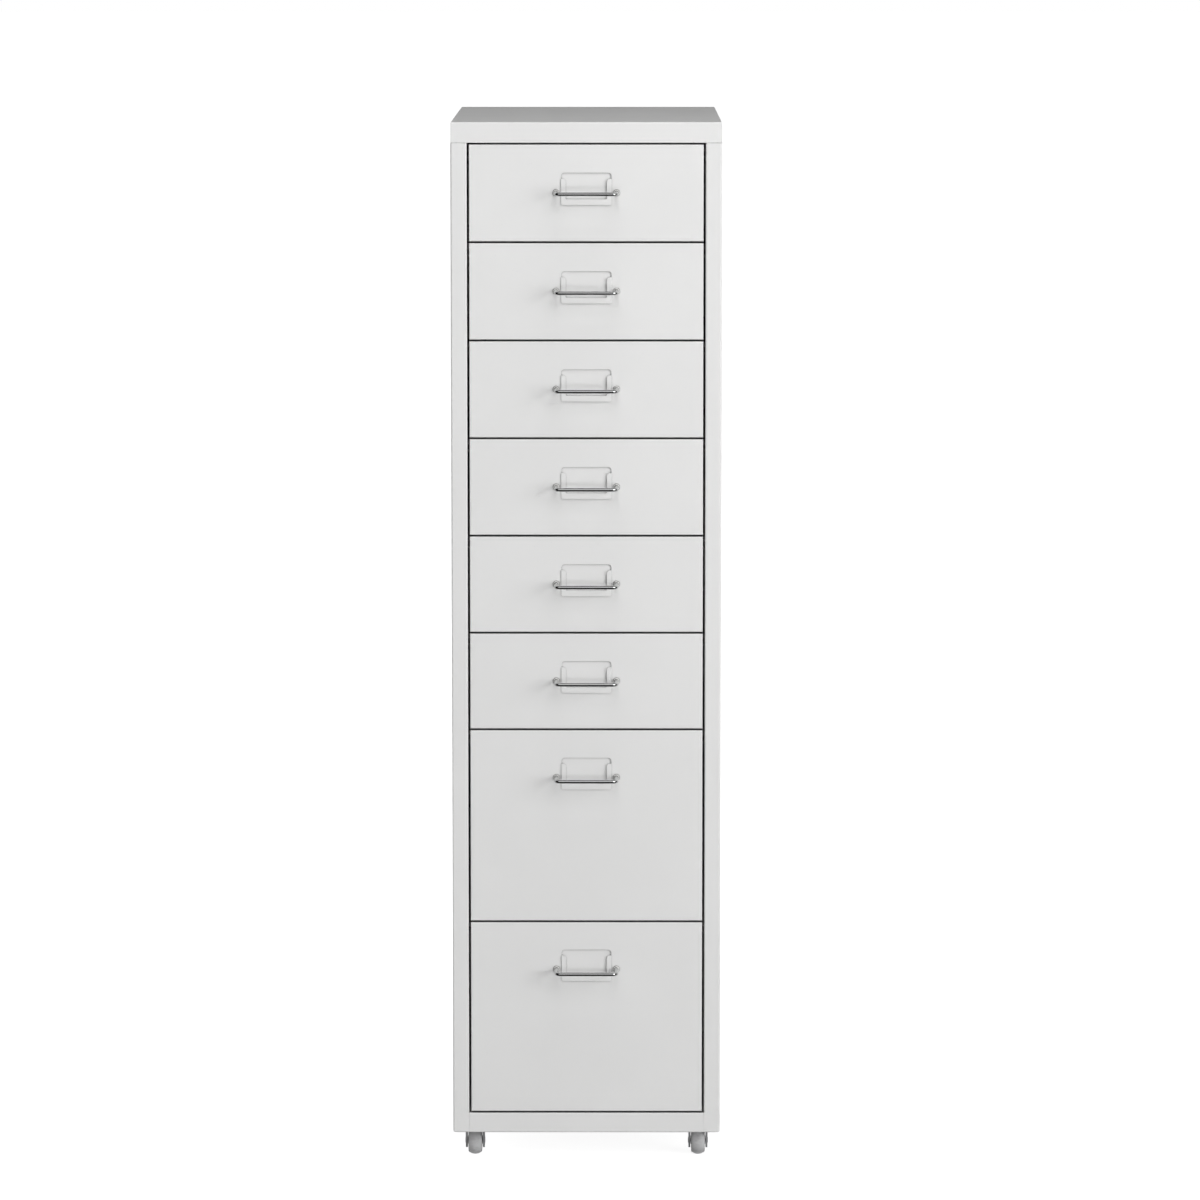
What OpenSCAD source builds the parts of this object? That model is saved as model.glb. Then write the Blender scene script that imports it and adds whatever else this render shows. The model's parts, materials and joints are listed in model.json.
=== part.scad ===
// Tall steel drawer cabinet on four swivel casters.
// Folded-sheet carcass with eight drawers: six single-row drawers above two double-row drawers.
// Every drawer is a tray that hangs by its top lips in channel rails, with a hollow folded front,
// a lanced label holder and a wire bow handle.
//
// Frame: millimetres, +Z up, the drawers open towards -Y, X is symmetric. The origin lies on the
// floor, under the centre of the overall box (handles and rear screw heads included).

/* [Cabinet] */
// Width over the side panels
cab_w = 280; // [272:1:420]
// Depth from the drawer fronts to the back, without handles
cab_d = 430; // [410:1:520]
// Height of the body's lower edge above the floor
ground_clear = 30.5; // [30.5:0.5:36]
// From the body's lower edge to the middle of the lowest gap
base_band = 22; // [21:0.1:28]
// From the top surface to the middle of the highest gap
top_band = 22.3; // [20:0.1:30]
// Width of the side panels' front and rear flanges
flange_w = 16.8; // [15.5:0.1:18.5]
// Depth of the stiffening lip behind each front flange
flange_lip = 12; // [9:0.5:12]
// Width of the safety hems under the side panels and the base skirt
hem_w = 5; // [3:0.5:5.5]
// Radius of the side panels' lower corners
hem_r = 2.5; // [2:0.1:3]
// Open seam between the top panel's skirts and the side panels
seam_gap = 0.3; // [0.2:0.05:0.5]
// Open seam between the base skirt and the side panels' front flanges
base_seam = 0.1; // [0.1:0.05:0.3]

/* [Sheet metal] */
// Thickness of the panels and drawer fronts
sheet_t = 0.8; // [0.6:0.1:1]
// Outer radius of the panel folds
fold_r = 1.6; // [1.2:0.1:2]
// Thickness of the rails
rail_t = 1; // [0.8:0.1:1.2]
// Thickness of the base channels
channel_t = 1.2; // [1:0.1:1.5]

/* [Carcass joints] */
// How far the top panel's tongues reach down inside the sides
tongue_lap = 4; // [2:0.5:5]
// Distance from the tongues' ends to the front and the back
tongue_inset = 20; // [18:1:60]
// Depth of the bottom panel's side and rear skirts
base_skirt = 9; // [6:0.5:9.5]
// How far the bottom panel's tabs reach behind the front flanges
base_tab = 6; // [3:0.5:8]
// Clearance all round the back panel's edges
back_clear = 0.4; // [0.2:0.1:1]
// Shank diameter of the back screws
screw_d = 4; // [3:0.1:4.5]
// Head diameter of the back screws
screw_head_d = 7.4; // [6.5:0.1:8.5]
// Head height of the back screws
screw_head_h = 1.6; // [1.2:0.1:2.4]
// Length of the back screws under the head
screw_len = 8; // [5:0.5:8]
// Number of screws down each side of the back
side_screws = 5; // [3:1:8]
// Distance from the first and last side screw to the side panels' ends
side_screw_inset = 40; // [25:1:80]
// Distance between the two screws in the top panel's rear skirt
top_screw_span = 180; // [100:1:200]

/* [Drawer fronts] */
// Height of one row, from gap to gap
row_pitch = 101.55; // [94:0.05:120]
// Width of the gaps above and below a drawer front
row_gap = 1.9; // [1.6:0.1:2.4]
// Width of the gaps beside a drawer front
side_gap = 2.2; // [1.6:0.1:2.6]
// Depth of the folded front
front_depth = 12.8; // [11:0.1:13.5]
// Width of the inward flange behind the front
front_flange = 15; // [14.5:0.5:20]
// Outer radius of the front's folds
front_r = 1; // [1:0.1:1.6]

/* [Trays] */
// Distance from the front's side edge to the tray's side
tray_inset = 6; // [5.5:0.1:7]
// Distance from the front's top edge to the tray's lips
tray_drop = 12; // [12:0.1:13.5]
// Distance from the front's bottom edge to the tray's floor
tray_rise = 8; // [7:0.1:8.5]
// Thickness of the trays
tray_t = 0.6; // [0.5:0.1:0.9]
// Outer radius of the folds at the tray's floor
tray_r = 2.4; // [2:0.1:4]
// Width of the lips that hang in the rails
lip_w = 5.5; // [5:0.1:6]
// Space behind a closed tray
tray_back_gap = 14; // [8:1:30]
// Travel of every drawer
drawer_travel = 300; // [200:5:330]

/* [Rails] */
// Clear height inside a rail
rail_slot = 6.2; // [5.8:0.1:7]
// Side clearance between a tray and the rails' edges
rail_side_gap = 1.5; // [1:0.1:1.8]
// Distance from the cabinet's front to the rails
rail_inset = 15; // [14.5:0.5:20]
// Distance from the rails' rear ends to the tips of the back screws
rail_end_gap = 1; // [1:0.5:3]
// How far a rail's stop hangs down into it
stop_drop = 3.2; // [2.8:0.1:3.5]
// Height of the tabs at the ends of the tray's lips
tab_h = 4; // [3.6:0.1:4.2]
// Clearance between tab and stop at full travel
stop_clear = 0.5; // [0.3:0.1:2]

/* [Handles] */
// Wire diameter
wire_d = 4; // [3.2:0.1:4.4]
// Distance between the two legs, centre to centre
handle_span = 62.6; // [56:0.1:80]
// From the front's face to the middle of the bar
handle_reach = 30; // [24:0.5:36]
// Bend radius at the middle of the wire
wire_bend_r = 5; // [3:0.1:8]
// From the front's top edge to the legs
handle_drop = 49.6; // [42:0.1:50]
// Diameter of the leg's riveted end
rivet_d = 5.8; // [5.2:0.1:6]
// Height of the leg's riveted end
rivet_h = 1; // [0.8:0.1:1.4]
// Wall of the bushes
bush_wall = 1.1; // [0.8:0.1:1.2]
// Radius of the bushes' front rims
bush_rim_r = 0.8; // [0.4:0.1:0.8]
// Open ring round a bush in the front's hole
bush_ring = 0.4; // [0.2:0.05:0.5]
// How far the bushes' collars reach past the front's holes
bush_collar = 0.6; // [0.5:0.1:1]
// How far the bushes stand out of the front
bush_stand = 2; // [1.5:0.1:3]
// Length of the bushes behind the front's sheet
bush_tail = 2.6; // [2:0.1:3]
// Radial clearance of the wire in its bushes
bush_clear = 0.05; // [0.02:0.01:0.1]

/* [Label holders] */
// Clearance between the holder's folded sides and the bushes' collars
label_clear = 0.35; // [0.3:0.05:4]
// Overall height
label_h = 33.3; // [30:0.1:36]
// From the front's top edge to the holder
label_drop = 28.9; // [24:0.1:30]
// Width of the two upright rails
label_rail = 4.7; // [4:0.1:6]
// Height of the bottom rail
label_foot = 6.1; // [5:0.1:8]
// Height of the insertion recess above the rails
label_notch = 6.2; // [5:0.1:8]
// Depth of the recess behind the face
label_depth = 1.3; // [1:0.1:1.6]
// How far the rails stand out of the face
label_stand = 1.2; // [0.6:0.1:1.4]
// Radius of the recess's top corners
label_top_r = 3.5; // [2:0.1:4]
// Radius of the rails' top ends
label_end_r = 3; // [2:0.1:3.5]
// Radius of the corners between the rails and the foot
label_inner_r = 1; // [0.5:0.1:2]
// Radius of the holder's lower corners
label_low_r = 2; // [1.6:0.1:3]

/* [Casters] */
// Wheel diameter
wheel_d = 30; // [27:0.5:30]
// Width of the tread
wheel_w = 14.3; // [12:0.1:14.6]
// Width of the wheel's hub
hub_w = 15.4; // [14.6:0.1:15.4]
// Diameter of the wheel's hub
hub_d = 9; // [8:0.5:12]
// Diameter of the dished sides of the wheel
dish_d = 21; // [18:0.5:22]
// Thickness of the wheel's web
wheel_web = 6; // [4:0.5:9]
// Radius of the tread's rounded shoulders
shoulder_r = 2.6; // [2:0.1:3.5]
// Radius of the crowned tread
crown_r = 11; // [10:1:60]
// Diameter of the axle
axle_d = 4; // [3:0.1:4.5]
// Diameter of the axle's heads
axle_head_d = 6; // [5:0.1:7]
// Height of the axle's heads
axle_head_h = 0.5; // [0.3:0.1:0.8]
// Radial clearance of the wheel on its axle and of the fork on its kingpin
turn_clear = 0.05; // [0.02:0.01:0.1]
// Width between the fork's legs
fork_gap = 16; // [16:0.1:16.5]
// Thickness of the fork's sheet
fork_t = 2; // [1.8:0.1:2.1]
// Outer radius of the fork's folds
fork_r = 2.8; // [2.4:0.1:3]
// From the swivel axis to the axle
trail = 12; // [9:0.5:12]
// Length of the fork's crown on the axle's side
crown_lead = 8; // [7:0.5:8.5]
// Length of the fork's crown on the other side
crown_rear = 9; // [7:0.5:9.5]
// Radius of the legs' ends round the axle
leg_r = 8; // [5:0.1:8]
// From the cabinet's sides to the swivel axes
caster_inset_x = 22.3; // [22:0.1:30]
// From the cabinet's front and back to the swivel axes
caster_inset_y = 24; // [23.5:0.5:40]
// Side of the square mounting plate
plate_side = 36; // [34:0.5:37]
// Thickness of the mounting plate
plate_t = 1.5; // [1.2:0.1:2]
// Radius of the mounting plate's corners
plate_r = 4; // [2:0.5:6]
// Distance between the plate's bolts
bolt_span = 27; // [26.5:0.1:27.5]
// Shank diameter of the bolts
bolt_d = 4; // [3:0.1:4]
// Head diameter of the bolts
bolt_head_d = 7; // [6:0.1:7.2]
// Head height of the bolts
bolt_head_h = 2; // [1.2:0.1:2.2]
// Length of the bolts beyond their nuts
bolt_tip = 0.8; // [0.4:0.1:2]
// Width across flats of the nuts
nut_af = 7; // [5.5:0.1:7]
// Height of the nuts
nut_h = 3.2; // [2.2:0.1:3.2]
// Diameter of the kingpin
kingpin_d = 6; // [5:0.1:7]
// Diameter of the kingpin's head
kingpin_head_d = 10; // [9:0.1:11]
// Height of the kingpin's head
kingpin_head_h = 1.4; // [1:0.1:2]
// Diameter of the swivel washer
washer_d = 16; // [13:0.5:17]
// Thickness of the swivel washer
washer_t = 0.8; // [0.5:0.1:1]
// Height of the base channels that carry the casters
channel_h = 8.8; // [8.2:0.1:9]
// Width of the base channels
channel_w = 41; // [40:0.5:44]
// Width of the base channels' welding flanges
channel_flange = 8; // [5:0.5:9]
// Clearance of screws and bolts in their holes
hole_clear = 0.2; // [0.1:0.05:0.3]

/* [Hidden] */
$fn = 64;
eps = 0.5; // overshoot of a cutter beyond the surface that it cuts
root = 0.2; // how far a shape of a piece starts inside another shape of the same piece
head_rim = 0.4; // share of a round head's height below its chamfer
head_crown = 0.7; // share of a round head's diameter at its top
recess_span = 0.55; // length of the screws' cross recess, as a share of the head's diameter
recess_width = 0.14; // width of that recess, as a share of the head's diameter

steel_white = [0.89, 0.89, 0.89];
inner_white = [0.86, 0.86, 0.87];
chrome = [0.80, 0.81, 0.83];
zinc = [0.66, 0.68, 0.70];
bush_white = [0.93, 0.93, 0.92];
wheel_grey = [0.60, 0.60, 0.61];

// Rows that each drawer takes, from the top down
drawer_rows = [1, 1, 1, 1, 1, 1, 2, 2];
drawers = [for (i = [0:len(drawer_rows) - 1]) i];
caster_ids = ["front_left", "front_right", "rear_left", "rear_right"];

function rows_above(i) = i == 0 ? 0 : drawer_rows[i - 1] + rows_above(i - 1);
row_total = rows_above(len(drawer_rows));

// Overall stack
handle_out = handle_reach + wire_d / 2;
front_y = (handle_out - cab_d - screw_head_h) / 2;
back_y = front_y + cab_d;
body_z = ground_clear;
top_z = body_z + base_band + row_total * row_pitch + top_band;
top_skirt = top_band - row_gap / 2;
seam_z = top_z - top_skirt;
floor_z = body_z + base_band - row_gap / 2;
side_x = cab_w / 2;
web_x = side_x - sheet_t;
opening_x = side_x - flange_w;

// Drawer fronts and trays
front_w = 2 * (opening_x - side_gap);
tray_w = front_w - 2 * tray_inset;
tray_front_y = front_y + front_depth;
tray_back_y = back_y - 2 * sheet_t - tray_back_gap;
tray_len = tray_back_y - tray_front_y;

// Bushes: the bore for the wire, the neck that stands out of the front and the collar behind it
bush_bore_d = wire_d + 2 * bush_clear;
bush_neck_d = bush_bore_d + 2 * bush_wall;
bush_hole_d = bush_neck_d + 2 * bush_ring;
bush_collar_d = bush_hole_d + 2 * bush_collar;
label_w = handle_span - bush_collar_d - 2 * (sheet_t + label_clear);

function front_h(i) = drawer_rows[i] * row_pitch - row_gap;
function front_top_z(i) = top_z - top_band - rows_above(i) * row_pitch - row_gap / 2;
function front_low_z(i) = front_top_z(i) - front_h(i);
function lip_top_z(i) = front_top_z(i) - tray_drop;

// Rails: the lower flange's top carries the tray's lip
rail_in_x = tray_w / 2 + rail_side_gap;
rail_back_y = back_y - screw_len - rail_end_gap;
stop_y = tray_back_y - drawer_travel - stop_clear - 2 * rail_t;

// Casters, from the bottom panel down
channel_top_z = floor_z - sheet_t;
plate_top_z = channel_top_z - channel_h;
washer_top_z = plate_top_z - plate_t;
crown_top_z = washer_top_z - washer_t;
wheel_r = wheel_d / 2;
fork_w = fork_gap + 2 * fork_t;
caster_x = side_x - caster_inset_x;

// Left and right of the cabinet, and the way in which a caster trails
function caster_side(id) = (id == "front_left" || id == "rear_left") ? -1 : 1;
function caster_end(id) = (id == "front_left" || id == "front_right") ? 1 : -1;
function caster_y(id) = caster_end(id) == 1 ? front_y + caster_inset_y : back_y - caster_inset_y;

// ---------------------------------------------------------------- flat outlines

// Rectangle from its lower left corner, with its own radius at each corner
module rounded(size, low_left = 0, low_right = 0, top_right = 0, top_left = 0) {
    difference() {
        square(size);
        corner_cut([0, 0], [1, 1], low_left);
        corner_cut([size[0], 0], [-1, 1], low_right);
        corner_cut([size[0], size[1]], [-1, -1], top_right);
        corner_cut([0, size[1]], [1, -1], top_left);
    }
}

// What a round corner of radius r takes off a square one; way points into the shape
module corner_cut(at, way, r) {
    if (r > 0)
        translate(at) scale_way(way) difference() {
            translate([-eps, -eps]) square(r + eps);
            translate([r, r]) circle(r);
        }
}

module scale_way(way) {
    mirror([way[0] < 0 ? 1 : 0, 0]) mirror([0, way[1] < 0 ? 1 : 0]) children();
}

// Extrusions of a flat outline: (x, z) along +Y, (y, z) along +X
module along_y(from, len) {
    translate([0, from + len, 0]) rotate([90, 0, 0]) linear_extrude(len) children();
}

module along_x(from, len) {
    translate([from, 0, 0]) rotate([90, 0, 90]) linear_extrude(len) children();
}

// ---------------------------------------------------------------- carcass

// Block of the top panel, with folded edges all round its upper face
module top_block(inset, r, cut = 0) {
    low = seam_z - cut;
    high = top_z - inset;
    intersection() {
        along_y(front_y + inset, cab_d - 2 * inset)
            translate([-side_x + inset, low])
                rounded([cab_w - 2 * inset, high - low], top_right = r, top_left = r);
        along_x(-side_x, cab_w)
            translate([front_y + inset, low])
                rounded([cab_d - 2 * inset, high - low], top_right = r, top_left = r);
    }
}

module top_panel() {
    color(steel_white) difference() {
        top_block(0, fold_r);
        top_block(sheet_t, fold_r - sheet_t, eps);
        for (x = [-1, 1] * top_screw_span / 2)
            screw_hole([x, (seam_z + top_z) / 2]);
    }
}

// Filled shape of the right side panel; inset by one sheet it is the space inside
module side_block(inset) {
    low = body_z + inset;
    high = seam_z - seam_gap + (inset > 0 ? eps : 0);
    wide = flange_w - 2 * inset;
    deep = cab_d - 2 * inset;
    r = fold_r - inset;
    intersection() {
        translate([opening_x + inset, front_y + inset, low])
            linear_extrude(high - low) rounded([wide, deep], r, r, r);
        along_x(opening_x, flange_w)
            translate([front_y + inset, low]) rounded([deep, high - low], r, r);
        along_y(front_y, cab_d)
            translate([opening_x + inset, low])
                rounded([wide, high - low], low_right = hem_r - inset);
    }
}

module side_panel() {
    lip_low_z = floor_z + seam_gap;
    difference() {
        side_block(0);
        side_block(sheet_t);
        // open inner side behind the front flange's lip
        translate([opening_x - eps, front_y + flange_lip, body_z - eps])
            cube([sheet_t + 2 * eps, cab_d - flange_lip - sheet_t, top_z]);
        // no lip beside the bottom panel
        translate([opening_x - eps, front_y + sheet_t, body_z + sheet_t])
            cube([fold_r + eps, flange_lip, lip_low_z - body_z - sheet_t]);
        // the underside keeps only its hems
        translate([opening_x - eps, front_y + hem_w, body_z - eps])
            cube([flange_w - hem_w + eps, cab_d - 2 * hem_w, eps + fold_r]);
        for (z = side_screw_z())
            screw_hole([(opening_x + web_x) / 2, z]);
    }
    // plain edge of the flange and its hem beside the bottom panel
    along_x(opening_x, fold_r) hem_section(lip_low_z, 0);
    // tongue that the top panel slides over and rests on
    along_y(front_y + tongue_inset, cab_d - 2 * tongue_inset)
        translate([web_x - sheet_t, seam_z - tongue_lap]) {
            rounded([sheet_t, top_z - sheet_t - seam_z + tongue_lap], top_right = fold_r - sheet_t);
            square([sheet_t + root, tongue_lap / 2]);
        }
}

// Section in (y, z) of a front sheet with a hem folded under it, which ends at some height, either
// in a plain edge or in another fold of radius top_r
module hem_section(high, top_r) {
    difference() {
        translate([front_y, body_z])
            rounded([hem_w, high - body_z], low_left = fold_r, top_left = top_r);
        translate([front_y + sheet_t, body_z + sheet_t])
            rounded([hem_w, high - body_z - sheet_t + (top_r > 0 ? -sheet_t : eps)],
                low_left = fold_r - sheet_t, top_left = top_r - sheet_t);
    }
}

module side_right() {
    color(steel_white) side_panel();
}

module side_left() {
    color(steel_white) mirror([1, 0, 0]) side_panel();
}

module back_panel() {
    wide = 2 * (side_x - fold_r - back_clear);
    low = body_z + hem_r;
    color(steel_white) difference() {
        translate([-wide / 2, back_y - 2 * sheet_t, low])
            cube([wide, sheet_t, top_z - fold_r - back_clear - low]);
        back_screw_holes();
    }
}

// Floor sheet with a hemmed front skirt between the side flanges, a tab behind each of the flanges
// and short skirts on the other edges
module bottom_panel() {
    half = opening_x - base_seam;
    length = cab_d - 3 * sheet_t;
    tab_tall = floor_z - body_z - 2 * hem_r;
    color(steel_white) {
        along_x(-half, 2 * half) hem_section(floor_z, fold_r);
        for (way = [0, 1]) mirror([way, 0, 0])
            translate([half - base_tab, front_y + sheet_t, body_z + hem_r]) {
                cube([2 * base_tab, sheet_t, tab_tall]);
                translate([0, -root, 0]) cube([base_tab, sheet_t, tab_tall]);
            }
        difference() {
            base_block(0, length, fold_r);
            base_block(sheet_t, length, fold_r - sheet_t);
        }
    }
}

module base_block(inset, length, r) {
    low = floor_z - base_skirt - inset;
    high = floor_z - inset;
    start_y = front_y + fold_r;
    run = length + sheet_t - fold_r;
    intersection() {
        along_y(start_y - inset, run)
            translate([-web_x + inset, low])
                rounded([2 * (web_x - inset), high - low], top_right = r, top_left = r);
        along_x(-side_x, cab_w)
            translate([start_y - eps, low])
                rounded([run + eps - inset, high - low], top_right = r);
    }
}

// ---------------------------------------------------------------- back screws

function side_screw_z() =
    let (low = body_z + side_screw_inset, high = seam_z - side_screw_inset)
    [for (k = [0:side_screws - 1]) low + k * (high - low) / (side_screws - 1)];

module screw_hole(at) {
    translate([at[0], back_y + eps, at[1]]) rotate([90, 0, 0])
        cylinder(d = screw_d + 2 * hole_clear, h = 3 * sheet_t + eps);
}

module back_screw_holes() {
    for (x = [-1, 1] * (opening_x + web_x) / 2, z = side_screw_z())
        screw_hole([x, z]);
    for (x = [-1, 1] * top_screw_span / 2)
        screw_hole([x, (seam_z + top_z) / 2]);
}

// Round head in two steps, wide at its seat (z = 0) and chamfered above
module head(d, h) {
    cylinder(d = d, h = h * head_rim);
    translate([0, 0, h * head_rim]) cylinder(d1 = d, d2 = d * head_crown, h = h * (1 - head_rim));
}

// Screw with a cross recess in its head, which lies outside the back
module back_screw() {
    slot = [screw_head_d * recess_span, screw_head_d * recess_width, screw_head_h];
    rotate([-90, 0, 0]) difference() {
        union() {
            head(screw_head_d, screw_head_h);
            translate([0, 0, -screw_len]) cylinder(d = screw_d, h = screw_len + root);
        }
        for (turn = [0, 90])
            rotate(turn) translate([-slot[0] / 2, -slot[1] / 2, screw_head_h / 2]) cube(slot);
    }
}

module back_screws() {
    color(zinc) {
        for (x = [-1, 1] * (opening_x + web_x) / 2, z = side_screw_z())
            translate([x, back_y, z]) back_screw();
        for (x = [-1, 1] * top_screw_span / 2)
            translate([x, back_y, (seam_z + top_z) / 2]) back_screw();
    }
}

// ---------------------------------------------------------------- rails

// One channel rail on the right, open towards the tray, with a stop lanced from its upper flange
module rail(i) {
    shelf_z = lip_top_z(i) - tray_t;
    low = shelf_z - rail_t;
    high = shelf_z + rail_slot + rail_t;
    along_y(front_y + rail_inset, rail_back_y - front_y - rail_inset)
        translate([rail_in_x, low]) difference() {
            rounded([web_x - rail_in_x, high - low], low_right = 2 * rail_t, top_right = 2 * rail_t);
            translate([-eps, rail_t])
                rounded([web_x - rail_t - rail_in_x + eps, rail_slot],
                    low_right = rail_t, top_right = rail_t);
        }
    translate([rail_in_x, stop_y, high - rail_t - stop_drop])
        cube([lip_w - rail_side_gap, rail_t, stop_drop + rail_t / 2]);
}

module rails_right() {
    color(inner_white) for (i = drawers) rail(i);
}

module rails_left() {
    color(inner_white) mirror([1, 0, 0]) for (i = drawers) rail(i);
}

// ---------------------------------------------------------------- drawers

// Block of a hollow front, its face towards -Y; inset by one sheet it is the space inside
module front_block(i, inset, r) {
    wide = front_w - 2 * inset;
    tall = front_h(i) - 2 * inset;
    deep = front_depth - 2 * inset;
    intersection() {
        translate([-wide / 2, front_y + inset, front_low_z(i) + inset])
            linear_extrude(tall) rounded([wide, deep], r, r);
        along_x(-wide / 2, wide)
            translate([front_y + inset, front_low_z(i) + inset])
                rounded([deep, tall], low_left = r, top_left = r);
    }
}

// Outline of the whole label holder, grown by some margin, around the origin of its top edge
module label_outline(grow, top_r = label_top_r) {
    translate([-label_w / 2 - grow, -label_h - grow])
        rounded([label_w + 2 * grow, label_h + 2 * grow],
            label_low_r + grow, label_low_r + grow, top_r + grow, top_r + grow);
}

// The U of two upright rails and a foot, with the outer edge moved in by some margin
module label_u(inset) {
    inner_w = label_w - 2 * label_rail;
    rise = label_h - label_notch;
    difference() {
        translate([-label_w / 2 + inset, -label_h + inset])
            rounded([label_w - 2 * inset, rise - inset],
                label_low_r - inset, label_low_r - inset);
        translate([-inner_w / 2, -label_h + label_foot])
            rounded([inner_w, label_h], label_inner_r, label_inner_r);
        for (way = [-1, 1])
            corner_cut([way * inner_w / 2, -label_notch], [way, -1], label_end_r);
    }
}

module label_holder() {
    along_y(label_depth, sheet_t) label_outline(sheet_t);
    along_y(sheet_t / 2, label_depth) difference() {
        label_outline(sheet_t);
        label_outline(0);
    }
    along_y(-label_stand, sheet_t) label_u(0);
    along_y(-label_stand, label_stand + sheet_t) intersection() {
        label_u(0);
        difference() {
            label_outline(eps);
            translate([-label_w / 2 + sheet_t, -label_h + sheet_t])
                rounded([label_w - 2 * sheet_t, 2 * label_h],
                    label_low_r - sheet_t, label_low_r - sheet_t);
        }
    }
}

module drawer_front(i) {
    window_w = front_w - 2 * sheet_t - 2 * front_flange;
    window_h = front_h(i) - 2 * sheet_t - 2 * front_flange;
    color(steel_white) {
        difference() {
            front_block(i, 0, front_r);
            front_block(i, sheet_t, front_r - sheet_t);
            translate([-window_w / 2, front_y + front_depth / 2,
                       front_low_z(i) + sheet_t + front_flange])
                cube([window_w, front_depth, window_h]);
            translate([0, 0, front_top_z(i) - label_drop])
                along_y(front_y - eps, sheet_t + 2 * eps) label_outline(0);
            for (x = [-1, 1] * handle_span / 2)
                translate([x, front_y - eps, front_top_z(i) - handle_drop]) rotate([-90, 0, 0])
                    cylinder(d = bush_hole_d, h = sheet_t + 2 * eps);
        }
        translate([0, front_y, front_top_z(i) - label_drop]) label_holder();
    }
}

// Open tray with outward lips along its sides and a stop tab at the rear end of each lip
module drawer_tray(i) {
    floor_low = front_low_z(i) + tray_rise;
    tall = lip_top_z(i) - floor_low;
    half = tray_w / 2;
    color(inner_white) {
        along_y(tray_front_y, tray_len) translate([-half, floor_low]) difference() {
            rounded([tray_w, tall], tray_r, tray_r);
            translate([tray_t, tray_t])
                rounded([tray_w - 2 * tray_t, tall], tray_r - tray_t, tray_r - tray_t);
        }
        for (y = [tray_front_y, tray_back_y - tray_t])
            along_y(y, tray_t) translate([-half, floor_low]) rounded([tray_w, tall], tray_r, tray_r);
        for (way = [0, 1]) mirror([way, 0, 0]) {
            translate([half - tray_t, tray_front_y, lip_top_z(i) - tray_t])
                cube([lip_w + tray_t, tray_len, tray_t]);
            translate([rail_in_x, tray_back_y - rail_t, lip_top_z(i) - tray_t])
                cube([half + lip_w - rail_in_x, rail_t, tab_h + tray_t]);
        }
    }
}

// Wire bow: a bar and two bent legs whose ends are riveted over behind the bushes
module drawer_handle(i) {
    color(chrome)
        translate([0, front_y, front_top_z(i) - handle_drop]) {
            translate([-handle_span / 2 + wire_bend_r, -handle_reach, 0]) rotate([0, 90, 0])
                wire(handle_span - 2 * wire_bend_r);
            for (way = [0, 1]) mirror([way, 0, 0]) {
                translate([handle_span / 2 - wire_bend_r, -handle_reach + wire_bend_r, 0])
                    rotate([0, 0, -90]) rotate_extrude(angle = 90)
                        translate([wire_bend_r, 0]) circle(d = wire_d);
                translate([handle_span / 2, -handle_reach + wire_bend_r, 0]) rotate([-90, 0, 0])
                    wire(handle_reach - wire_bend_r + sheet_t + bush_tail);
                translate([handle_span / 2, sheet_t + bush_tail, 0]) rotate([-90, 0, 0])
                    cylinder(d = rivet_d, h = rivet_h);
            }
        }
}

// Straight wire along +Z, with a core that reaches into what it meets at both ends
module wire(len) {
    cylinder(d = wire_d, h = len);
    translate([0, 0, -root]) cylinder(d = wire_d / 2, h = len + 2 * root);
}

// Two bushes, each turned from one section: a collar behind the sheet and a neck through it
module drawer_bushes(i) {
    neck_len = bush_stand + sheet_t;
    color(bush_white)
        for (x = [-1, 1] * handle_span / 2)
            translate([x, front_y - bush_stand, front_top_z(i) - handle_drop]) rotate([-90, 0, 0])
                rotate_extrude() translate([bush_bore_d / 2, 0]) {
                    rounded([bush_wall, neck_len + bush_tail], low_right = bush_rim_r);
                    translate([0, neck_len]) square([(bush_collar_d - bush_bore_d) / 2, bush_tail]);
                }
}

// ---------------------------------------------------------------- casters

module at_casters() {
    for (id = caster_ids)
        translate([caster_side(id) * caster_x, caster_y(id), 0]) children();
}

module at_caster(id) {
    translate([caster_side(id) * caster_x, caster_y(id), 0])
        mirror([0, caster_end(id) > 0 ? 0 : 1, 0]) children();
}

module at_bolts() {
    for (x = [-1, 1] * bolt_span / 2, y = [-1, 1] * bolt_span / 2)
        translate([x, y, 0]) children();
}

// Two channels across the base, welded under the bottom panel, that carry the caster plates
module base_channels() {
    reach = web_x - fold_r - seam_gap;
    color(steel_white) for (y = [front_y + caster_inset_y, back_y - caster_inset_y])
        difference() {
            along_x(-reach, 2 * reach) translate([y - channel_w / 2, plate_top_z]) difference() {
                rounded([channel_w, channel_h], 2 * channel_t, 2 * channel_t,
                    2 * channel_t, 2 * channel_t);
                translate([channel_t, channel_t])
                    rounded([channel_w - 2 * channel_t, channel_h - 2 * channel_t],
                        channel_t, channel_t, channel_t, channel_t);
                translate([channel_t + channel_flange, channel_h / 2])
                    square([channel_w - 2 * (channel_t + channel_flange), channel_h]);
            }
            for (x = [-1, 1] * caster_x) translate([x, y, 0]) at_bolts()
                translate([0, 0, plate_top_z - eps])
                    cylinder(d = bolt_d + 2 * hole_clear, h = channel_t + 2 * eps);
        }
}

module caster_plates() {
    color(zinc) at_casters()
        translate([0, 0, washer_top_z]) difference() {
            translate([-plate_side / 2, -plate_side / 2, 0]) linear_extrude(plate_t)
                rounded([plate_side, plate_side], plate_r, plate_r, plate_r, plate_r);
            at_bolts() translate([0, 0, -eps])
                cylinder(d = bolt_d + 2 * hole_clear, h = plate_t + 2 * eps);
            translate([0, 0, -eps]) cylinder(d = kingpin_d + 2 * turn_clear, h = plate_t + 2 * eps);
        }
}

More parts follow.
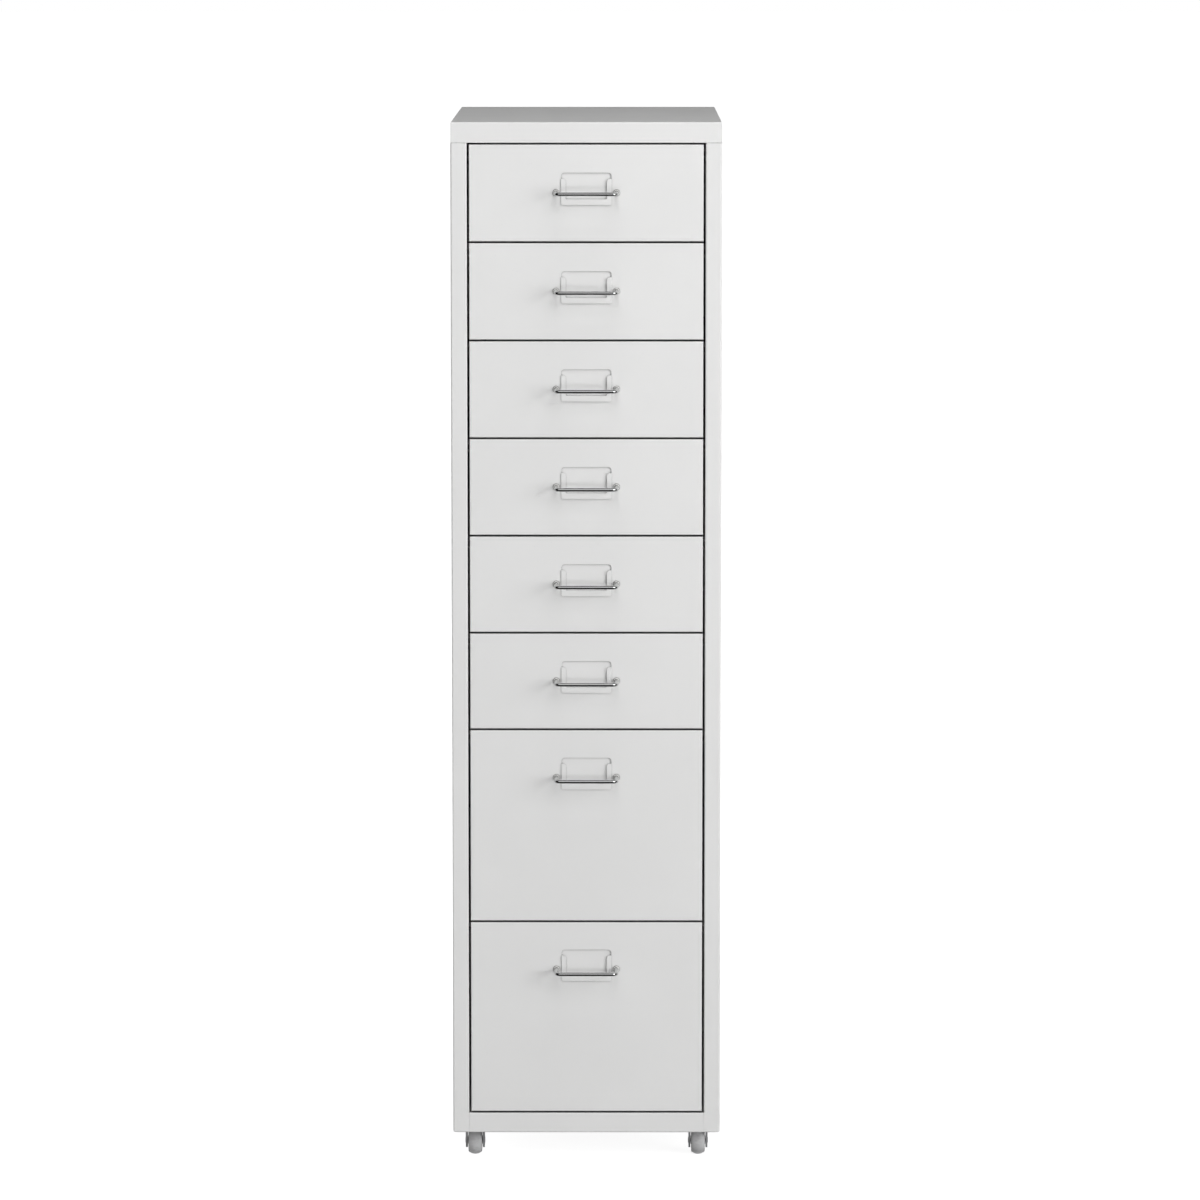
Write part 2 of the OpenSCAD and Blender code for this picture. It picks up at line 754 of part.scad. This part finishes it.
// Rivet that holds the fork under the plate, flush with the plate's top
module caster_kingpins() {
    head_top_z = crown_top_z - fork_t - turn_clear;
    color(zinc) at_casters() {
        translate([0, 0, head_top_z]) mirror([0, 0, 1]) head(kingpin_head_d, kingpin_head_h);
        translate([0, 0, head_top_z - root])
            cylinder(d = kingpin_d, h = plate_top_z - head_top_z + root);
    }
}

module caster_washers() {
    color(bush_white) at_casters() translate([0, 0, crown_top_z]) difference() {
        cylinder(d = washer_d, h = washer_t);
        translate([0, 0, -eps]) cylinder(d = kingpin_d + 2 * turn_clear, h = washer_t + 2 * eps);
    }
}

module caster_bolts() {
    color(zinc) at_casters() at_bolts() {
        translate([0, 0, washer_top_z]) mirror([0, 0, 1]) head(bolt_head_d, bolt_head_h);
        translate([0, 0, washer_top_z - root])
            cylinder(d = bolt_d, h = root + plate_t + channel_t + nut_h + bolt_tip);
    }
}

module caster_nuts() {
    color(zinc) at_casters() at_bolts()
        translate([0, 0, plate_top_z + channel_t]) difference() {
            cylinder(d = nut_af / cos(30), h = nut_h, $fn = 6);
            translate([0, 0, -eps]) cylinder(d = bolt_d + 2 * turn_clear, h = nut_h + 2 * eps);
        }
}

// Point where a line from p touches the circle of radius r round c, on its left or right (side)
function touch_point(p, c, r, side) =
    let (v = p - c, turn = atan2(v[1], v[0]) + side * acos(r / norm(v)))
    c + r * [cos(turn), sin(turn)];

// Outline of the fork's legs in (y, z), with the swivel axis at y = 0
module leg_outline() {
    axle = [trail, wheel_r];
    front_top = [-crown_rear, crown_top_z];
    rear_top = [crown_lead, crown_top_z];
    polygon([front_top, touch_point(front_top, axle, leg_r, 1), axle,
             touch_point(rear_top, axle, leg_r, -1), rear_top]);
    translate(axle) circle(leg_r);
}

module fork() {
    low = wheel_r - leg_r;
    color(zinc) difference() {
        intersection() {
            along_x(-fork_w / 2, fork_w) leg_outline();
            along_y(-crown_rear - eps, crown_rear + trail + leg_r + 2 * eps) difference() {
                translate([-fork_w / 2, low - eps])
                    rounded([fork_w, crown_top_z - low + eps], top_right = fork_r, top_left = fork_r);
                translate([-fork_gap / 2, low - 2 * eps])
                    rounded([fork_gap, crown_top_z - fork_t - low + 2 * eps],
                        top_right = fork_r - fork_t, top_left = fork_r - fork_t);
            }
        }
        translate([0, 0, crown_top_z - fork_t - eps])
            cylinder(d = kingpin_d + 2 * turn_clear, h = fork_t + 2 * eps);
        translate([-fork_w / 2 - eps, trail, wheel_r]) rotate([0, 90, 0])
            cylinder(d = axle_d + 2 * turn_clear, h = fork_w + 2 * eps);
    }
}

module axle() {
    color(zinc) translate([0, trail, wheel_r]) rotate([0, 90, 0]) {
        translate([0, 0, -fork_w / 2 - root]) cylinder(d = axle_d, h = fork_w + 2 * root);
        for (z = [-fork_w / 2 - axle_head_h, fork_w / 2])
            translate([0, 0, z]) cylinder(d = axle_head_d, h = axle_head_h);
    }
}

// Half section of the wheel in (radius, width)
module wheel_section() {
    bore_r = axle_d / 2 + turn_clear;
    difference() {
        intersection() {
            translate([bore_r, -wheel_w / 2])
                rounded([wheel_r - bore_r, wheel_w], low_right = shoulder_r, top_right = shoulder_r);
            translate([wheel_r - crown_r, 0]) circle(crown_r, $fn = 128);
        }
        for (way = [-1, 1])
            translate([bore_r - eps, way > 0 ? wheel_web / 2 : -wheel_w - wheel_web / 2])
                square([dish_d / 2 - bore_r + eps, wheel_w]);
    }
    translate([bore_r, -hub_w / 2]) square([hub_d / 2 - bore_r, hub_w]);
}

module wheel() {
    color(wheel_grey) translate([0, trail, wheel_r]) rotate([0, 90, 0])
        rotate_extrude() wheel_section();
}

// ---------------------------------------------------------------- assembly

top_panel();
side_left();
side_right();
back_panel();
bottom_panel();
rails_left();
rails_right();
back_screws();
base_channels();
caster_plates();
caster_kingpins();
caster_washers();
caster_bolts();
caster_nuts();
for (id = caster_ids) {
    at_caster(id) fork();
    at_caster(id) axle();
    at_caster(id) wheel();
}
for (i = drawers) {
    drawer_front(i);
    drawer_tray(i);
    drawer_handle(i);
    drawer_bushes(i);
}
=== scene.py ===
"""Looks of the tall steel drawer cabinet: coatings, rounded sheet edges, floor, lamps and camera.

Lengths are in metres and the sensor in millimetres. The frame's own nodes are all that is seen of
the object: nothing is added to it.
"""

import json
import math

import bpy
from mathutils import Euler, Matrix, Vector

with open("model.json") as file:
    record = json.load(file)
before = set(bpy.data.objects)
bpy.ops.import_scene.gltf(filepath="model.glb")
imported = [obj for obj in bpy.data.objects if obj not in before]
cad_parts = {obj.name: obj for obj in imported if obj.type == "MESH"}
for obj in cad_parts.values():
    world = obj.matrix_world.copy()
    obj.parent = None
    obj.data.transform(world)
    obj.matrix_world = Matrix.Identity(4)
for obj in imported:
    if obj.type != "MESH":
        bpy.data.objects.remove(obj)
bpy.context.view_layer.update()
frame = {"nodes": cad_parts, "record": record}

nodes = frame["nodes"]
record = frame["record"]

scene = bpy.context.scene
scene.view_settings.view_transform = "Standard"

# ---------------------------------------------------------------- camera

# Fitted to the corners of the cabinet and its drawers in the photo
PHOTO_PIXELS = 1200
FOCAL_PIXELS = 5722.9
SENSOR = 36.0
CAMERA_AT = (0.02804, -6.1050, 1.3204)
CAMERA_DOWN = 7.0062
CAMERA_TURN = 0.1344
NEAREST, FARTHEST = 0.1, 200

camera_data = bpy.data.cameras.new("camera")
camera_data.sensor_width = SENSOR
camera_data.lens = FOCAL_PIXELS / PHOTO_PIXELS * SENSOR
camera_data.clip_start, camera_data.clip_end = NEAREST, FARTHEST
camera = bpy.data.objects.new("camera", camera_data)
camera.location = CAMERA_AT
camera.rotation_euler = Euler(
    (math.radians(90 - CAMERA_DOWN), 0, math.radians(CAMERA_TURN)), "XYZ"
)
scene.collection.objects.link(camera)
scene.camera = camera


# ---------------------------------------------------------------- shader helpers

# Rays for the painted shade (ambient occlusion in the colour) in nooks
NOOK_SHADE_SAMPLES = 8
EVEN = (1, 1, 1)


def map_range(tree, **values):
    """A Map Range node with these inputs, in which _ stands for a space."""
    node = tree.nodes.new("ShaderNodeMapRange")
    for name, value in values.items():
        node.inputs[name.replace("_", " ")].default_value = value
    return node


class Tree:
    """A material's node tree, with short calls for the nodes used here."""

    def __init__(self, name):
        self.material = bpy.data.materials.new(name)
        self.material.use_nodes = True
        self.nodes = self.material.node_tree.nodes
        self.links = self.material.node_tree.links
        self.shader = self.nodes["Principled BSDF"]
        self.coords = self.nodes.new("ShaderNodeTexCoord")

    def stretched(self, scale):
        """Object coordinates, scaled by (x, y, z)."""
        mapping = self.nodes.new("ShaderNodeMapping")
        mapping.inputs["Scale"].default_value = scale
        self.links.new(self.coords.outputs["Object"], mapping.inputs["Vector"])
        return mapping.outputs["Vector"]

    def noise(self, size, detail=2.0, rough=0.5, scale=EVEN):
        """Noise whose features are about size metres wide, from 0 to 1."""
        node = self.nodes.new("ShaderNodeTexNoise")
        node.inputs["Scale"].default_value = 1 / size
        node.inputs["Detail"].default_value = detail
        node.inputs["Roughness"].default_value = rough
        self.links.new(self.stretched(scale), node.inputs["Vector"])
        return node.outputs["Fac"]

    def spread(self, source, low, high, start=0.3, end=0.7):
        """source from start..end to low..high."""
        node = map_range(self, From_Min=start, From_Max=end, To_Min=low, To_Max=high)
        self.links.new(source, node.inputs["Value"])
        return node.outputs["Result"]

    def combine(self, kind, first, second):
        """A sum on two values, each a socket or a number."""
        node = self.nodes.new("ShaderNodeMath")
        node.operation = kind
        for socket, value in zip(node.inputs, (first, second)):
            if isinstance(value, (int, float)):
                socket.default_value = value
            else:
                self.links.new(value, socket)
        return node.outputs[0]

    def mix(self, factor, first, second, blend="MIX"):
        """Mix of two colours, each a socket or an (r, g, b)."""
        node = self.nodes.new("ShaderNodeMix")
        node.data_type = "RGBA"
        node.blend_type = blend
        for socket, value in (
            (node.inputs["Factor"], factor),
            (node.inputs[6], first),
            (node.inputs[7], second),
        ):
            if isinstance(value, tuple):
                socket.default_value = (*value, 1)
            elif isinstance(value, (int, float)):
                socket.default_value = value
            else:
                self.links.new(value, socket)
        return node.outputs[2]

    def painted_shade(self, colour, reach, deep, closed=0.1, clear=0.95):
        """A colour with painted shade: it falls to its share deep where other surfaces within
        reach close it in.

        closed and clear are the shares of open sky at which it is darkest and unchanged.
        """
        nook = self.nodes.new("ShaderNodeAmbientOcclusion")
        nook.samples = NOOK_SHADE_SAMPLES
        nook.inputs["Distance"].default_value = reach
        open_share = self.spread(nook.outputs["AO"], deep, 1, closed, clear)
        return self.mix(1, colour, open_share, "MULTIPLY")

    def colour(self, socket):
        self.links.new(socket, self.shader.inputs["Base Color"])

    def roughness(self, socket):
        self.links.new(socket, self.shader.inputs["Roughness"])

    def bumps(self, *layers):
        """Bump layers (height socket, depth, strength), one on another."""
        normal = None
        for height, depth, strength in layers:
            node = self.nodes.new("ShaderNodeBump")
            node.inputs["Distance"].default_value = depth
            node.inputs["Strength"].default_value = strength
            self.links.new(height, node.inputs["Height"])
            if normal:
                self.links.new(normal, node.inputs["Normal"])
            normal = node.outputs["Normal"]
        self.links.new(normal, self.shader.inputs["Normal"])


def tint(colour, factor):
    return tuple(c * factor for c in colour)


# ---------------------------------------------------------------- materials

# Painted shade (ambient occlusion mixed into the colour) in narrow nooks: how near another
# surface is, and how dark it gets
NOOK_SHADE_REACH, NOOK_SHADE_DEEP = 0.0025, 0.55
# Painted shade in the slits round the drawer fronts, between these shares of open sky
SLIT_SHADE_REACH, SLIT_SHADE_DEEP, SLIT_SHADE_OPEN = 0.007, 0.35, (0.2, 0.6)
# Painted shade in the rings round the bushes
HOLE_SHADE_REACH, HOLE_SHADE_DEEP = 0.0025, 0.08

# Widths of the noise in the powder coat
CLOUD = 0.11
FLECK = 0.0022
SHEEN, SHEEN_FINE = 0.045, 0.004
PEEL, WAVE = 0.0016, 0.09
PEEL_DEPTH, WAVE_DEPTH = 0.000018, 0.00012


def powder_coat(name, colour, rough, peel=0.35):
    """White powder coat: faint mottling, painted shade in nooks and slits, an uneven satin sheen
    and fine orange peel.
    """
    t = Tree(name)
    cloud = t.noise(CLOUD, 3.0)
    fleck = t.noise(FLECK, 2.0)
    broad = t.mix(t.spread(cloud, 0, 1), tint(colour, 0.985), tint(colour, 1.01))
    specks = t.spread(fleck, 0, 1, 0.66, 0.78)
    coat = t.mix(specks, broad, tint(colour, 0.965))
    # Painted shade: the coat darkens where other surfaces close it in, in narrow nooks and in the
    # slits round the fronts
    nooks = t.painted_shade(coat, NOOK_SHADE_REACH, NOOK_SHADE_DEEP)
    t.colour(t.painted_shade(nooks, SLIT_SHADE_REACH, SLIT_SHADE_DEEP, *SLIT_SHADE_OPEN))
    broad_sheen = t.spread(t.noise(SHEEN, 4.0), rough - 0.035, rough + 0.045)
    fine_sheen = t.spread(t.noise(SHEEN_FINE, 1.0), -0.02, 0.02)
    t.roughness(t.combine("ADD", broad_sheen, fine_sheen))
    t.bumps(
        (t.noise(PEEL, 2.0, 0.45), PEEL_DEPTH, peel),
        (t.noise(WAVE, 1.0), WAVE_DEPTH, 0.12),
    )
    return t.material


# Widths of the noise on a cut edge
EDGE_RUB, EDGE_SHEEN, EDGE_GRAIN = 0.012, 0.01, 0.0012
EDGE_DEPTH = 0.000015


def cut_edge(name, colour, rough):
    """Powder coat over a sheet's cut edge, where it thins and rubs: greyer and smoother."""
    t = Tree(name)
    rub = t.spread(t.noise(EDGE_RUB, 4.0, 0.65), 0, 1, 0.55, 0.75)
    t.colour(t.mix(rub, tint(colour, 0.97), tint(colour, 0.80)))
    t.roughness(t.spread(t.noise(EDGE_SHEEN, 3.0), rough - 0.08, rough + 0.02))
    t.bumps((t.noise(EDGE_GRAIN, 2.0), EDGE_DEPTH, 0.3))
    return t.material


# Widths of the noise on plated metal
PLATE_CLOUD, POLISH, PLATE_SPOT, PLATE_WAVE = 0.014, 0.0007, 0.0035, 0.003
POLISH_DEPTH, PLATE_DEPTH = 0.000004, 0.00001


def bright_metal(name, colour, rough, spread, grain, dull, metallic=1.0):
    """Plated metal: cloudy sheen, fine polish lines along grain and some duller spots."""
    t = Tree(name)
    t.shader.inputs["Metallic"].default_value = metallic
    cloud = t.noise(PLATE_CLOUD, 4.0, 0.6)
    t.colour(t.mix(t.spread(cloud, 0, 1), tint(colour, 0.95), tint(colour, 1.03)))
    lines = t.noise(POLISH, 3.0, 0.6, grain)
    spots = t.spread(t.noise(PLATE_SPOT, 3.0, 0.7), 0, dull, 0.58, 0.72)
    sheen = t.spread(lines, rough - spread, rough + spread)
    t.roughness(t.combine("ADD", sheen, spots))
    t.bumps((lines, POLISH_DEPTH, 0.25), (t.noise(PLATE_WAVE, 2.0), PLATE_DEPTH, 0.15))
    return t.material


# Widths of the noise on moulded plastic
FLOW, MOULD_SHEEN, MOULD_GRAIN = 0.02, 0.005, 0.0009
GRAIN_DEPTH = 0.00002


def moulded(name, colour, rough):
    """Moulded plastic: eggshell grain, faint flow marks, painted shade where it sits in its hole.
    """
    t = Tree(name)
    flow = t.noise(FLOW, 3.0, 0.55, (1, 1, 0.4))
    body = t.mix(t.spread(flow, 0, 1), tint(colour, 0.96), tint(colour, 1.03))
    # Painted shade where the bush sits in its hole
    t.colour(t.painted_shade(body, HOLE_SHADE_REACH, HOLE_SHADE_DEEP))
    t.roughness(t.spread(t.noise(MOULD_SHEEN, 3.0), rough - 0.05, rough + 0.06))
    t.bumps((t.noise(MOULD_GRAIN, 2.0), GRAIN_DEPTH, 0.3))
    return t.material


# Widths of the noise on the wheels
SCUFF, WHEEL_CLOUD, WHEEL_SHEEN = 0.0025, 0.012, 0.004
WHEEL_GRAIN, TREAD_LINES = 0.0011, 0.0007


def wheel_plastic(name, colour, rough):
    """Grey wheel: the tread, which faces away from the axle, is scuffed and dusty."""
    t = Tree(name)
    apart = t.nodes.new("ShaderNodeSeparateXYZ")
    t.links.new(t.coords.outputs["Normal"], apart.inputs[0])
    side = t.combine("ABSOLUTE", apart.outputs["X"], 0)
    tread = t.spread(side, 1, 0, 0.25, 0.6)
    scuff = t.spread(t.noise(SCUFF, 5.0, 0.7, (0.5, 1, 1)), 0, 1, 0.42, 0.66)
    worn = t.combine("MULTIPLY", tread, scuff)
    cloud = t.spread(t.noise(WHEEL_CLOUD, 3.0), 0, 1)
    body = t.mix(cloud, tint(colour, 0.95), tint(colour, 1.04))
    t.colour(t.mix(worn, body, tint(colour, 0.84)))
    t.roughness(t.spread(t.noise(WHEEL_SHEEN, 3.0), rough - 0.05, rough + 0.08))
    t.bumps(
        (t.noise(WHEEL_GRAIN, 2.0), GRAIN_DEPTH, 0.3),
        (t.noise(TREAD_LINES, 3.0, 0.6, (0.15, 1, 1)), GRAIN_DEPTH, 0.25),
    )
    return t.material


PAINT = (0.80, 0.80, 0.795)
INNER = (0.77, 0.77, 0.77)
CHROME = (0.55, 0.556, 0.554)
ZINC = (0.50, 0.51, 0.52)
BUSH = (0.83, 0.83, 0.81)
WHEEL = (0.635, 0.635, 0.64)
# How the polish lines are stretched: along the bow of a handle, and up and down a fork
ALONG_BOW = (0.08, 1, 1)
UPRIGHT = (1, 1, 0.15)

paint = powder_coat("panel_white", PAINT, 0.42)
paint_edge = cut_edge("panel_white_edge", PAINT, 0.38)
inner = powder_coat("inner_white", INNER, 0.5, 0.5)
inner_edge = cut_edge("inner_white_edge", INNER, 0.42)
chrome = bright_metal("handle_chrome", CHROME, 0.10, 0.025, ALONG_BOW, 0.04)
zinc = bright_metal("zinc_steel", ZINC, 0.42, 0.07, UPRIGHT, 0.12, metallic=0.35)
bush = moulded("bush_white", BUSH, 0.40)
wheel = wheel_plastic("wheel_grey", WHEEL, 0.5)

# The face and edge material of each slot
FINISH = {
    "panel_white": (paint, paint_edge),
    "inner_white": (inner, inner_edge),
    "handle_chrome": (chrome, chrome),
    "zinc_steel": (zinc, zinc),
    "bush_white": (bush, bush),
    "wheel_grey": (wheel, wheel),
}

# ---------------------------------------------------------------- rounded edges


def shading_group():
    """Drops the stored normals and makes every face smooth, so that they are worked out anew."""
    group = bpy.data.node_groups.new("smooth_all", "GeometryNodeTree")
    for way in ("INPUT", "OUTPUT"):
        group.interface.new_socket(
            "Geometry", in_out=way, socket_type="NodeSocketGeometry"
        )
    start = group.nodes.new("NodeGroupInput")
    end = group.nodes.new("NodeGroupOutput")
    drop = group.nodes.new("GeometryNodeRemoveAttribute")
    drop.inputs["Name"].default_value = "custom_normal"
    faces = group.nodes.new("GeometryNodeSetShadeSmooth")
    faces.domain = "FACE"
    edges = group.nodes.new("GeometryNodeSetShadeSmooth")
    edges.domain = "EDGE"
    chain = [start, drop, faces, edges, end]
    for first, second in zip(chain, chain[1:]):
        group.links.new(first.outputs[0], second.inputs[0])
    return group


SMOOTH = shading_group()
SAME_POINT = 2e-6
SHARP_TURN = math.radians(33)
FLAT_TURN = math.radians(0.25)
BEVEL_STEPS = 2
NORMAL_WEIGHT = 50

# Edge radius of each kind of node
EDGE = {
    "front": 0.00022,
    "tray": 0.00012,
    "handle": 0.00030,
    "bushes": 0.00025,
    "fork": 0.00030,
    "axle": 0.00015,
    "wheel": 0.00040,
}
EDGE_ELSE = 0.00020


def edge_radius(name):
    kind = name.split("_")[-1] if name.startswith("drawer_") else name.split("_")[0]
    return EDGE.get(kind, EDGE_ELSE)


def round_edges(obj, radius, edge_slot):
    """Rounds every sharp edge of a CAD node and shades its faces smoothly."""
    weld = obj.modifiers.new("weld", "WELD")
    weld.merge_threshold = SAME_POINT
    smooth = obj.modifiers.new("smooth", "NODES")
    smooth.node_group = SMOOTH
    flat = obj.modifiers.new("flat", "DECIMATE")
    flat.decimate_type = "DISSOLVE"
    flat.angle_limit = FLAT_TURN
    bevel = obj.modifiers.new("edges", "BEVEL")
    bevel.width = radius
    bevel.segments = BEVEL_STEPS
    bevel.limit_method = "ANGLE"
    bevel.angle_limit = SHARP_TURN
    bevel.material = edge_slot
    normals = obj.modifiers.new("normals", "WEIGHTED_NORMAL")
    normals.keep_sharp = False
    normals.weight = NORMAL_WEIGHT


slot_of = {part["node"]: part["material_slot"] for part in record["subparts"]}
for name, obj in nodes.items():
    face, edge = FINISH[slot_of[name]]
    obj.data.materials.clear()
    obj.data.materials.append(face)
    obj.data.materials.append(edge)
    round_edges(obj, edge_radius(name), 1)

# ---------------------------------------------------------------- stage

FLOOR_HALF = 60.0
# Glow of the floor round the object, where its shadow falls, up to 1 further out
FLOOR_GLOW = 0.90
GLOW_NEAR, GLOW_FAR = 0.6, 3.0
# Lamp light that the floor gives back: as it is seen, which sets its shadow, and to the object
FLOOR_SHADE = 0.50
FLOOR_BOUNCE = 0.60
# The room's even dim light on what it lights
FILL = 0.10
# The rays that see the floor glow and the room white
SEEING = ("Is Camera Ray", "Is Glossy Ray", "Is Transmission Ray")


def light_path(tree, *names):
    """1 for a ray of any of these kinds."""
    path = tree.nodes.new("ShaderNodeLightPath")
    total = path.outputs[names[0]]
    for name in names[1:]:
        join = tree.nodes.new("ShaderNodeMath")
        join.operation = "MAXIMUM"
        tree.links.new(total, join.inputs[0])
        tree.links.new(path.outputs[name], join.inputs[1])
        total = join.outputs[0]
    return total


def add_plane(name, centre, size, rotation=(0, 0, 0)):
    half_x, half_y = size[0] / 2, size[1] / 2
    mesh = bpy.data.meshes.new(name)
    corners = [
        (-half_x, -half_y, 0),
        (half_x, -half_y, 0),
        (half_x, half_y, 0),
        (-half_x, half_y, 0),
    ]
    mesh.from_pydata(corners, [], [(0, 1, 2, 3)])
    obj = bpy.data.objects.new(name, mesh)
    obj.location = centre
    obj.rotation_euler = rotation
    scene.collection.objects.link(obj)
    return obj


def floor_material():
    """White paper floor: it glows towards the camera and in reflections, and keeps shadows."""
    material = bpy.data.materials.new("floor")
    material.use_nodes = True
    tree = material.node_tree
    tree.nodes.clear()
    out = tree.nodes.new("ShaderNodeOutputMaterial")
    diffuse = tree.nodes.new("ShaderNodeBsdfDiffuse")
    shade = map_range(tree, To_Min=FLOOR_BOUNCE, To_Max=FLOOR_SHADE)
    tree.links.new(light_path(tree, "Is Camera Ray"), shade.inputs["Value"])
    tree.links.new(shade.outputs["Result"], diffuse.inputs["Color"])
    glow = tree.nodes.new("ShaderNodeEmission")
    place = tree.nodes.new("ShaderNodeTexCoord")
    distance = tree.nodes.new("ShaderNodeVectorMath")
    distance.operation = "LENGTH"
    tree.links.new(place.outputs["Object"], distance.inputs[0])
    fade = map_range(
        tree, From_Min=GLOW_NEAR, From_Max=GLOW_FAR, To_Min=FLOOR_GLOW, To_Max=1.0
    )
    tree.links.new(distance.outputs["Value"], fade.inputs["Value"])
    tree.links.new(fade.outputs["Result"], glow.inputs["Strength"])
    none = tree.nodes.new("ShaderNodeEmission")
    none.inputs["Strength"].default_value = 0
    seen = tree.nodes.new("ShaderNodeMixShader")
    add = tree.nodes.new("ShaderNodeAddShader")
    tree.links.new(light_path(tree, *SEEING), seen.inputs[0])
    tree.links.new(none.outputs[0], seen.inputs[1])
    tree.links.new(glow.outputs[0], seen.inputs[2])
    tree.links.new(diffuse.outputs[0], add.inputs[0])
    tree.links.new(seen.outputs[0], add.inputs[1])
    tree.links.new(add.outputs[0], out.inputs["Surface"])
    return material


floor = add_plane("floor", (0, 0, 0), (2 * FLOOR_HALF, 2 * FLOOR_HALF))
floor.data.materials.append(floor_material())

world = bpy.data.worlds.new("room")
scene.world = world
world.use_nodes = True
room = world.node_tree
background = room.nodes["Background"]
background.inputs["Color"].default_value = (1, 1, 1, 1)
strength = map_range(room, To_Min=FILL, To_Max=1.0)
room.links.new(light_path(room, *SEEING), strength.inputs["Value"])
room.links.new(strength.outputs["Result"], background.inputs["Strength"])


def add_lamp(name, at, aim, size, watts, reflected):
    """A soft box at a place, turned to its aim; reflected says if shiny surfaces show it."""
    data = bpy.data.lights.new(name, "AREA")
    data.shape = "RECTANGLE"
    data.size, data.size_y = size
    data.energy = watts
    obj = bpy.data.objects.new(name, data)
    obj.location = at
    obj.rotation_euler = (Vector(aim) - Vector(at)).to_track_quat("-Z", "Y").to_euler()
    obj.visible_glossy = reflected
    scene.collection.objects.link(obj)


add_lamp("key_right", (2.8, -2.7, 1.3), (0, -0.2, 0.55), (2.2, 2.0), 71, True)
add_lamp("key_above", (0.6, -3.4, 2.9), (0, -0.2, 0.6), (2.2, 1.4), 26, False)
add_lamp("top_front", (0.3, -1.3, 3.1), (0, -0.1, 0.9), (1.8, 1.2), 24, False)
add_lamp("front_fill", (-0.3, -4.2, 0.35), (0, -0.2, 0.3), (2.6, 0.6), 25, False)
add_lamp("rear_left", (-2.3, 3.2, 0.9), (0, 0.1, 0.55), (2.0, 1.6), 100, False)

# Black cards that only reflections see: they give the chrome its dark bands
card_material = bpy.data.materials.new("card")
card_material.use_nodes = True
card_shader = card_material.node_tree.nodes["Principled BSDF"]
card_shader.inputs["Base Color"].default_value = (0.01, 0.01, 0.01, 1)
card_shader.inputs["Roughness"].default_value = 1.0
card_shader.inputs["Specular IOR Level"].default_value = 0.0

LYING = (0, 0, 0)
FACING_Y = (math.radians(90), 0, 0)
FACING_X = (0, math.radians(90), 0)


def add_card(name, centre, size, rotation):
    card = add_plane(name, centre, size, rotation)
    card.data.materials.append(card_material)
    card.visible_camera = False
    card.visible_diffuse = False
    card.visible_transmission = False
    card.visible_shadow = False
    card.visible_volume_scatter = False


add_card("card_front", (0, -7.0, 0.3), (12, 1.4), FACING_Y)
add_card("card_floor", (0, -3.3, 0.004), (12, 7.2), LYING)
add_card("card_above", (0, -0.4, 4.0), (8, 4.0), LYING)
add_card("card_back", (0, 5.0, 2.6), (12, 3.6), FACING_Y)
add_card("card_left", (-3.4, -1.2, 1.6), (3.2, 5.0), FACING_X)
add_card("card_right", (4.4, -1.2, 1.6), (3.2, 5.0), FACING_X)
